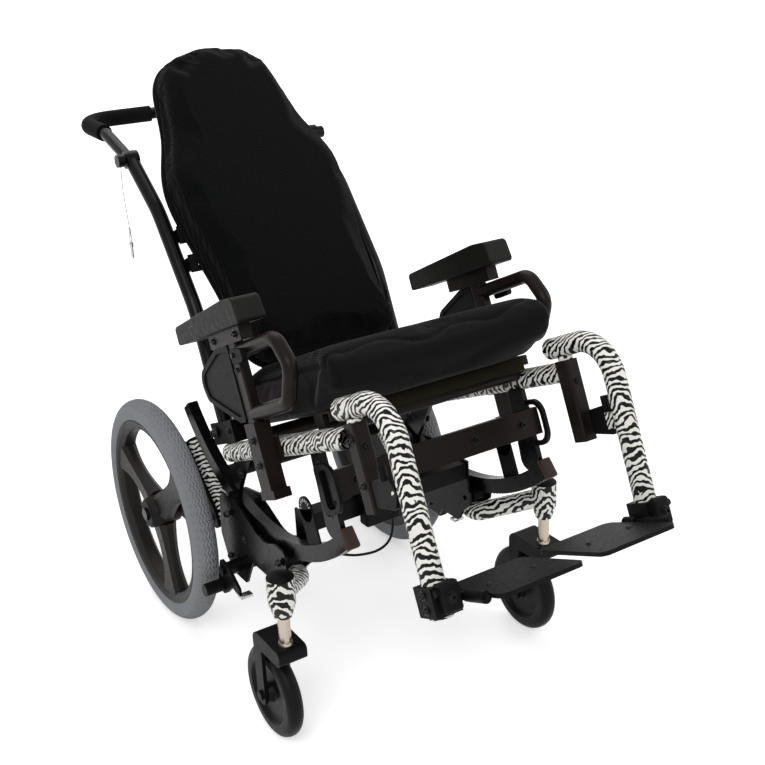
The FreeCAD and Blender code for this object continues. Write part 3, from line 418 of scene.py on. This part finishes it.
lanyard = {
    "radius": 0.9,
    "knob": (-198, -328, 333),
    "route": [(0, 0, -11), (-1.5, 2, -45), (0, 0, -83), (1, -1.5, -117)],
}
knob = seatPoint(*lanyard["knob"])
lanyardRoute = [knob + Vector(step) * mm for step in lanyard["route"]]
wire = cordCurve("lanyard_wire", lanyardRoute, lanyard["radius"], "zinc", "push_handle")
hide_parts("lanyard")
splineLength(wire)
print("cords laid")


# Padded fabric

clothPlan = {"quality": 5, "mass": 0.3, "stretch": 18, "shear": 6, "bend": 0.6, "steps": 20, "lastFrame": 25}


def puff(piece, held, pressure, cap):
    # Blows the cloth up from inside, holds it where held says, and keeps each point within cap millimetres
    scene = bpy.context.scene
    start = [vertex.co.copy() for vertex in piece.data.vertices]
    group = piece.vertex_groups.new(name="held")
    group.add([vertex.index for vertex in piece.data.vertices if held(vertex.co)], 1.0, "REPLACE")
    cloth = piece.modifiers.new("Cloth", "CLOTH")
    settings = cloth.settings
    settings.quality = clothPlan["quality"]
    settings.mass = clothPlan["mass"]
    settings.tension_stiffness = clothPlan["stretch"]
    settings.compression_stiffness = clothPlan["stretch"]
    settings.shear_stiffness = clothPlan["shear"]
    settings.bending_stiffness = clothPlan["bend"]
    settings.use_pressure = True
    settings.uniform_pressure_force = pressure
    settings.vertex_group_mass = "held"
    settings.effector_weights.gravity = 0
    cloth.collision_settings.use_collision = False
    cloth.point_cache.frame_start = 1
    cloth.point_cache.frame_end = clothPlan["lastFrame"]
    for step in range(1, clothPlan["steps"] + 1):
        scene.frame_set(step)
    shown = piece.evaluated_get(bpy.context.evaluated_depsgraph_get())
    places = [vertex.co.copy() for vertex in shown.data.vertices]
    piece.modifiers.remove(cloth)
    piece.vertex_groups.clear()
    for vertex, before, after in zip(piece.data.vertices, start, places):
        step = after - before
        if step.length > cap * mm:
            step *= cap * mm / step.length
        vertex.co = before + step
    scene.frame_set(1)


def remeshed(piece, voxel):
    remesh = piece.modifiers.new("Remesh", "REMESH")
    remesh.mode = "VOXEL"
    remesh.voxel_size = voxel * mm
    applyModifiers(piece)


def applyModifiers(piece):
    shown = piece.evaluated_get(bpy.context.evaluated_depsgraph_get())
    mesh = bpy.data.meshes.new_from_object(shown)
    old = piece.data
    mesh.name = old.name
    piece.modifiers.clear()
    piece.data = mesh
    bpy.data.meshes.remove(old)


def subdivided(piece, levels):
    finer = piece.modifiers.new("Subdivision", "SUBSURF")
    finer.levels = finer.render_levels = levels
    applyModifiers(piece)


def looseSolid(name, outline, low, high, axis):
    # Closed outline drawn in two axes and extruded along the third, in millimetres
    shape = bmesh.new()
    corners = []
    for first, second in outline:
        spot = Vector((low, first, second)) if axis == "X" else Vector((first, second, low))
        corners.append(shape.verts.new(spot * mm))
    face = shape.faces.new(corners)
    made = bmesh.ops.extrude_face_region(shape, geom=[face])
    step = Vector((high - low, 0, 0)) if axis == "X" else Vector((0, 0, high - low))
    bmesh.ops.translate(shape, verts=[item for item in made["geom"] if isinstance(item, bmesh.types.BMVert)],
                        vec=step * mm)
    bmesh.ops.recalc_face_normals(shape, faces=shape.faces)
    mesh = bpy.data.meshes.new(name)
    shape.to_mesh(mesh)
    shape.free()
    piece = bpy.data.objects.new(name, mesh)
    bpy.context.collection.objects.link(piece)
    return piece


def smoothRing(points, steps):
    # Closed Catmull-Rom line through the points
    ring = []
    count = len(points)
    for index in range(count):
        a, b, c, d = (Vector(points[(index + step) % count]) for step in (-1, 0, 1, 2))
        for part in range(steps):
            t = part / steps
            ring.append(0.5 * ((2 * b) + (c - a) * t + (2 * a - 5 * b + 4 * c - d) * t ** 2
                               + (3 * b - a - 3 * c + d) * t ** 3))
    return ring


backCushion = {
    # heights along the back with the half width at each, in millimetres
    "heights": [(-70, 60), (-66, 112), (-42, 142), (30, 150), (110, 156), (200, 169), (275, 173), (325, 162),
                (378, 142), (440, 129), (496, 114), (528, 86), (541, 36)],
    "thick": 55,
    "held": 4,
    "front": 4,
    "voxel": 6.0,
    "shrink": 7,
    "edge": 14,
    "pressure": 4.0,
    "cap": 12,
}


def makeBackCushion(plan):
    right = [(width - plan["shrink"], height) for height, width in plan["heights"]]
    left = [(-width, height) for width, height in reversed(right)]
    outline = smoothRing(right + left, 4)
    piece = looseSolid("back_cushion_cover", [tuple(point) for point in outline],
                       -plan["thick"] + 1, -plan["shrink"], "Z")
    bevel = piece.modifiers.new("Bevel", "BEVEL")
    bevel.width = plan["edge"] * mm
    bevel.segments = 4
    bevel.limit_method = "ANGLE"
    bevel.angle_limit = math.radians(50)
    applyModifiers(piece)
    remeshed(piece, plan["voxel"])
    puff(piece, lambda place: place.z < (plan["held"] - plan["thick"]) * mm, plan["pressure"],
         plan["cap"])
    subdivided(piece, 1)
    for vertex in piece.data.vertices:
        vertex.co.z = min(vertex.co.z, plan["front"] * mm)
        vertex.co = backFrame @ vertex.co
    piece.data.update()
    return piece


def finishCloth(piece, finish, node, body):
    piece.data.materials.clear()
    piece.data.materials.append(finishes[finish])
    for polygon in piece.data.polygons:
        polygon.use_smooth = True
    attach(piece, body)
    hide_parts(node)


backPiece = makeBackCushion(backCushion)
finishCloth(backPiece, "backKnit", "back_cushion", "back")
print("back cushion made")

seatCushion = {
    "half": 200,
    "profile": [(108, -156), (-150, -156), (-200, -142), (-222, -138), (-238, -120), (-236, -96), (-222, -80),
                (-196, -75), (-60, -77), (60, -79), (100, -84), (112, -100)],
    "middle": (-62, -116),
    "turnIn": 60,
    "heldBelow": -152,
    "heldBehind": -150,
    "lowest": -156.8,
    "rearmost": 112,
    "voxel": 6.0,
    "shrink": 6,
    "edge": 12,
    "pressure": 4.0,
    "cap": 12,
}


def makeSeatCushion(plan):
    inset = plan["shrink"]
    middle = Vector(plan["middle"])
    outline = []
    for point in plan["profile"]:
        spot = Vector(point)
        reach = spot - middle
        inwardStep = inset * (1 if reach.x > 0 else -1) * min(1, abs(reach.x) / plan["turnIn"])
        outline.append((spot.x - inwardStep, spot.y - (inset if reach.y > 0 else 0)))
    piece = looseSolid("seat_cushion_cover", outline, -plan["half"] + inset, plan["half"] - inset, "X")
    bevel = piece.modifiers.new("Bevel", "BEVEL")
    bevel.width = plan["edge"] * mm
    bevel.segments = 4
    bevel.limit_method = "ANGLE"
    bevel.angle_limit = math.radians(40)
    applyModifiers(piece)
    remeshed(piece, plan["voxel"])
    puff(piece, lambda place: place.z < plan["heldBelow"] * mm and place.y > plan["heldBehind"] * mm,
         plan["pressure"], plan["cap"])
    subdivided(piece, 1)
    for vertex in piece.data.vertices:
        vertex.co.z = max(vertex.co.z, plan["lowest"] * mm)
        vertex.co.y = min(vertex.co.y, plan["rearmost"] * mm)
        vertex.co = seatFrame @ vertex.co
    piece.data.update()
    return piece


seatPiece = makeSeatCushion(seatCushion)
finishCloth(seatPiece, "seatKnit", "seat_cushion", "seat")

coverSeams = {
    # the knit top ends in a wavy seam along the front edge and low on the sides, in the seat's millimetres
    "frontEdge": -207,
    "wave": 5,
    "waveLength": 130,
    "sideDrop": -98,
    "panelFront": -70,
    "panelHalf": 180,
    "groove": 1.6,
    "grooveWidth": 4.5,
}


def seamDistance(place, plan):
    # Above 0 on the knit top, below 0 on the jersey
    front = plan["frontEdge"] + plan["wave"] * math.sin(2 * math.pi * place.x / plan["waveLength"])
    return min(place.y - front, place.z - plan["sideDrop"])


def sewSeatCover(piece, plan):
    toSeat = seatFrame.inverted()
    mesh = piece.data
    for finish in ("jersey", "aubergine"):
        mesh.materials.append(finishes[finish])
    for polygon in mesh.polygons:
        place = toSeat @ polygon.center * 1000
        if seamDistance(place, plan) < 0:
            onSide = abs(place.x) > plan["panelHalf"] and place.y > plan["panelFront"]
            polygon.material_index = 2 if onSide else 1
    normals = [vertex.normal.copy() for vertex in mesh.vertices]
    for vertex, normal in zip(mesh.vertices, normals):
        away = abs(seamDistance(toSeat @ vertex.co * 1000, plan))
        if away < plan["grooveWidth"]:
            vertex.co -= normal * plan["groove"] * mm * (1 - away / plan["grooveWidth"])
    mesh.update()


sewSeatCover(seatPiece, coverSeams)
print("seat cushion made")


# Tyres with a wavy tread
tyre = {
    "half": 240,
    "centre": (52, 207),
    "radius": 207,
    "section": 22,
    "rings": 64,
    "steps": 720,
    "waves": 90,
    "waveDepth": 2.0,
    "grooves": (-19, -12.5, -6.5, 0, 6.5, 12.5, 19),
    "grooveHalf": 1.5,
    "grooveDepth": 1.5,
}


def makeTyre(side, sign, plan):
    shape = bmesh.new()
    ring = plan["radius"] - plan["section"]
    bmesh.ops.create_circle(shape, segments=plan["rings"], radius=plan["section"] * mm,
                            matrix=Matrix.Translation((0, ring * mm, 0)))
    bmesh.ops.spin(shape, geom=shape.verts[:] + shape.edges[:], cent=(0, 0, 0), axis=(1, 0, 0),
                   angle=2 * math.pi, steps=plan["steps"], use_merge=True)
    for vertex in shape.verts:
        reach = math.hypot(vertex.co.y, vertex.co.z)
        around = math.atan2(vertex.co.z, vertex.co.y)
        beyond = reach - ring * mm
        across = plan["section"] * math.atan2(vertex.co.x, beyond)
        sway = plan["waveDepth"] * math.sin(around * plan["waves"])
        near = min(abs(across - groove - sway) for groove in plan["grooves"])
        if near < plan["grooveHalf"]:
            outward = Vector((vertex.co.x, beyond * math.cos(around), beyond * math.sin(around)))
            vertex.co -= outward.normalized() * plan["grooveDepth"] * mm
    bmesh.ops.recalc_face_normals(shape, faces=shape.faces)
    back, up = plan["centre"]
    bmesh.ops.translate(shape, verts=shape.verts, vec=floorPoint(sign * plan["half"], back, up))
    piece = newPiece("treaded_tyre_" + side, shape, "greyRubber", "wheel_" + side, 40)
    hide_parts("tyre_" + side)


for side, sign in sides.items():
    makeTyre(side, sign, tyre)
print("tyres made")


# Caster stems
stem = {"half": 250.9, "front": -437, "radius": 9.5, "low": 190, "high": 238.6, "sunk": 1, "collar": 12,
        "collarTop": 11, "collarHigh": 4}


def makeStem(side, sign, plan):
    shape = bmesh.new()
    x, y = sign * plan["half"], plan["front"]
    foot = floorPoint(x, y, plan["low"] - plan["sunk"])
    addRod(shape, foot, floorPoint(x, y, plan["high"]), plan["radius"], segments=40)
    addRod(shape, foot, floorPoint(x, y, plan["low"] + plan["collarHigh"]), plan["collar"],
           plan["collarTop"], 40)
    newPiece("caster_stem_sleeve_" + side, shape, "nickel", "fork_" + side)


for side, sign in sides.items():
    makeStem(side, sign, stem)
print("caster stems made")


# Bolts and screws, as (frame, place, outward, head radius, washer radius), drawn for the left side
boltPlans = {
    "seat": ("seat", "black_paint", [
        ((200, -217, -158), (1, 0, 0), 8, 10), ((197, -166, -160), (1, 0, 0), 5, 7),
        ((236, 14, -176), (1, 0, 0), 5.5, 8), ((236, 14, -214), (1, 0, 0), 5.5, 8),
        ((195, 237, -198), (1, 0, 0), 5, 7), ((195, 237, -262), (1, 0, 0), 5, 7),
        ((183, 250, -210), (0, -1, 0), 4.5, 0), ((150, 136, -261), (0, -1, 0), 5.5, 8),
        ((60, 136, -261), (0, -1, 0), 5.5, 8), ((185, 104, -232), (1, 0, 0), 6, 9),
        ((185, 96, -300), (1, 0, 0), 6, 9), ((185, -190, -232), (1, 0, 0), 6, 9)]),
    "base": ("floor", "black_paint", [
        ((203, -92, 238), (1, 0, 0), 6, 9), ((203, -46, 284), (1, 0, 0), 6, 9),
        ((203, -8, 318), (1, 0, 0), 6, 9), ((205, -341.9, 265.6), (1, 0, 0), 7, 0),
        ((205, -162.4, 276.6), (1, 0, 0), 7, 0), ((201, -214, 250), (1, 0, 0), 5, 7),
        ((201, -150, 190), (1, 0, 0), 5, 7)]),
}
armBolts = [((233, 42, -19), (1, 0, 0), 5, 7), ((233, -42, -19), (1, 0, 0), 5, 7),
            ((231, 14, -70), (1, 0, 0), 4.5, 0)]
hangerBolts = [((183, 366, -408), (0, -1, 0), 6, 8), ((203, 332, -402), (1, 0, 0), 5, 7),
               ((203, 332, -422), (1, 0, 0), 5, 7)]
plateScrews = [((x, 356, -413), (0, 0, 1), 3.6, 0) for x in (48, 120)]


def makeBolts(name, body, place, bolts, signs):
    shape = bmesh.new()
    turn = seatFrame.to_3x3() if place == "seat" else Matrix.Identity(3)
    for sign in signs:
        for (x, first, second), (outX, outForward, outUp), radius, washer in bolts:
            spot = (seatPoint if place == "seat" else floorPoint)(sign * x, first, second)
            addBolt(shape, spot, turn @ Vector((sign * outX, outForward, outUp)), radius, washer)
    bmesh.ops.recalc_face_normals(shape, faces=shape.faces)
    newPiece(name, shape, "oxide", body)


for body, (place, slot, bolts) in boltPlans.items():
    makeBolts(body + "_bolts", body, place, bolts, sides.values())
for side, sign in sides.items():
    makeBolts("arm_bolts_" + side, "arm_" + side, "seat", armBolts, [sign])
    makeBolts("hanger_bolts_" + side, "hanger_" + side, "seat", hangerBolts, [sign])
    makeBolts("plate_screws_" + side, "footplate_" + side, "seat", plateScrews, [sign])
print("bolts made")


# Hub rings round the axle nuts
hubRing = {"centre": (52, 207), "face": 266.5, "inner": 12.6, "outer": 26, "thick": 2.5, "slope": 2,
           "steps": 64}


def makeHubRing(side, sign, plan):
    shape = bmesh.new()
    profile = [(0, plan["inner"]), (plan["thick"], plan["inner"]),
               (plan["thick"], plan["outer"] - plan["slope"]), (0, plan["outer"])]
    corners = [shape.verts.new((sign * a * mm, b * mm, 0)) for a, b in profile]
    edges = [shape.edges.new((corners[i], corners[(i + 1) % 4])) for i in range(4)]
    bmesh.ops.spin(shape, geom=corners + edges, cent=(0, 0, 0), axis=(1, 0, 0), angle=2 * math.pi,
                   steps=plan["steps"], use_merge=True)
    bmesh.ops.recalc_face_normals(shape, faces=shape.faces)
    back, up = plan["centre"]
    bmesh.ops.translate(shape, verts=shape.verts, vec=floorPoint(sign * plan["face"], back, up))
    newPiece("hub_ring_" + side, shape, "plastic", "wheel_" + side)


for side, sign in sides.items():
    makeHubRing(side, sign, hubRing)
print("hub rings made")


# Small trim: end blocks and gauge plates of the rockers, covers of the wheel locks' tabs, strap of the pan
trim = {
    "rockerHalf": 181,
    "blockAngle": -20.1,
    "blockLow": (-10, -11, -378),
    "blockHigh": (10, 0.5, -346),
    "blockBevel": 2.5,
    "gaugeIn": 184,
    "gaugeThick": 3,
    "gaugeFront": 42,
    "gaugeRear": 2,
    "gaugeFoot": -351,
    "gaugeUp": -294,
    "ticks": 9,
    "tickReach": (12, 17),
    "tickTurn": 80,
    "tickHalf": (0.3, 0.7),
    "strapLow": (-165, -159, -178),
    "strapHigh": (165, -155.6, -159),
    "tabLow": (206.7, -240.3, 156.7),
    "tabHigh": (229, -226, 161.3),
}


def makeTrim(side, sign, plan):
    shape = bmesh.new()
    place = (seatFrame @ Matrix.Translation((sign * plan["rockerHalf"] * mm, 0, 0))
             @ Matrix.Rotation(math.radians(plan["blockAngle"]), 4, "X"))
    addBlock(shape, plan["blockLow"], plan["blockHigh"], place, plan["blockBevel"], 3)
    newPiece("rocker_end_block_" + side, shape, "brownNylon", "seat")

    shape = bmesh.new()
    middle = (plan["gaugeFront"] + plan["gaugeRear"]) / 2
    radius = (plan["gaugeFront"] - plan["gaugeRear"]) / 2
    near, far = sign * plan["gaugeIn"], sign * (plan["gaugeIn"] + plan["gaugeThick"])
    low = (min(near, far), -plan["gaugeFront"], plan["gaugeFoot"])
    high = (max(near, far), -plan["gaugeRear"], plan["gaugeUp"])
    addBlock(shape, low, high, seatFrame, 0)
    addRod(shape, seatPoint(near, middle, plan["gaugeUp"]), seatPoint(far, middle, plan["gaugeUp"]), radius,
           segments=48)
    newPiece("tilt_gauge_" + side, shape, "plastic", "seat")

    shape = bmesh.new()
    inner, outer = plan["tickReach"]
    thin, half = plan["tickHalf"]
    for index in range(plan["ticks"]):
        turn = math.radians(plan["tickTurn"] * (2 * index / (plan["ticks"] - 1) - 1))
        spot = Matrix.Translation(seatPoint(far, middle, plan["gaugeUp"]) - seatFrame.translation)
        place = spot @ seatFrame @ Matrix.Rotation(turn, 4, "X")
        addBlock(shape, (-thin, -half, inner), (thin, half, outer), place, 0)
    newPiece("tilt_gauge_ticks_" + side, shape, "ink", "seat")

    shape = bmesh.new()
    low, high = Vector(plan["tabLow"]), Vector(plan["tabHigh"])
    if sign < 0:
        low.x, high.x = -high.x, -low.x
    addBlock(shape, low, high, floorFrame, 1.0)
    newPiece("lock_tab_cover_" + side, shape, "zinc", "lock_" + side)


for side, sign in sides.items():
    makeTrim(side, sign, trim)
shape = bmesh.new()
addBlock(shape, trim["strapLow"], trim["strapHigh"], seatFrame, 1.0)
newPiece("pan_strap", shape, "webbing", "seat")
print("trim made")


# Floor, world and lamps
studio = {
    "world": 0.42,
    "floor": 80,
    # strength of the floor's own light near the chair and far from it, and the metres over which it grows
    "glow": (0.45, 1.0),
    "glowReach": (1.0, 3.0),
    "aim": (0, 0, 0.5),
    # place, width in metres and watts of each lamp
    "lamps": {"key": ((-1.6, -1.8, 2.4), 1.6, 46), "fill": ((2.2, -1.4, 1.8), 2.0, 20),
              "top": ((0.2, 1.2, 2.8), 2.0, 26)},
}


def makeStudio(plan):
    shape = bmesh.new()
    bmesh.ops.create_grid(shape, x_segments=1, y_segments=1, size=plan["floor"])
    mesh = bpy.data.meshes.new("floor")
    shape.to_mesh(mesh)
    shape.free()
    floor = bpy.data.objects.new("floor", mesh)
    bpy.context.collection.objects.link(floor)
    material, tree, shader, place = newMaterial("white studio floor", {
        "Roughness": 0.9, "Specular IOR Level": 0.1, "Base Color": linearColour("f7f7f7")})
    seen = addNode(tree, "ShaderNodeLightPath")
    ray = calculate(tree, "MAXIMUM", seen.outputs["Is Camera Ray"], seen.outputs["Is Glossy Ray"])
    away = addNode(tree, "ShaderNodeVectorMath", {"operation": "LENGTH"}, {0: place}).outputs["Value"]
    glow = between(tree, away, *plan["glow"], *plan["glowReach"])
    tree.links.new(calculate(tree, "MULTIPLY", ray, glow), shader.inputs["Emission Strength"])
    shader.inputs["Emission Color"].default_value = (1, 1, 1, 1)
    mesh.materials.append(material)

    world = bpy.data.worlds.new("studio")
    bpy.context.scene.world = world
    world.use_nodes = True
    tree = world.node_tree
    background = tree.nodes["Background"]
    background.inputs["Color"].default_value = (1, 1, 1, 1)
    seen = addNode(tree, "ShaderNodeLightPath")
    ray = calculate(tree, "MAXIMUM", seen.outputs["Is Camera Ray"], seen.outputs["Is Glossy Ray"])
    ray = calculate(tree, "MAXIMUM", ray, seen.outputs["Is Transmission Ray"])
    tree.links.new(between(tree, ray, plan["world"], 1.0), background.inputs["Strength"])

    for name, (place, width, power) in plan["lamps"].items():
        lamp = bpy.data.objects.new(name, bpy.data.lights.new(name, "AREA"))
        lamp.data.energy = power
        lamp.data.size = width
        lamp.location = place
        lamp.rotation_mode = "QUATERNION"
        lamp.rotation_quaternion = (Vector(place) - Vector(plan["aim"])).to_track_quat("Z", "Y")
        bpy.context.collection.objects.link(lamp)


makeStudio(studio)
bpy.context.scene.view_settings.view_transform = "Standard"
print("studio ready")
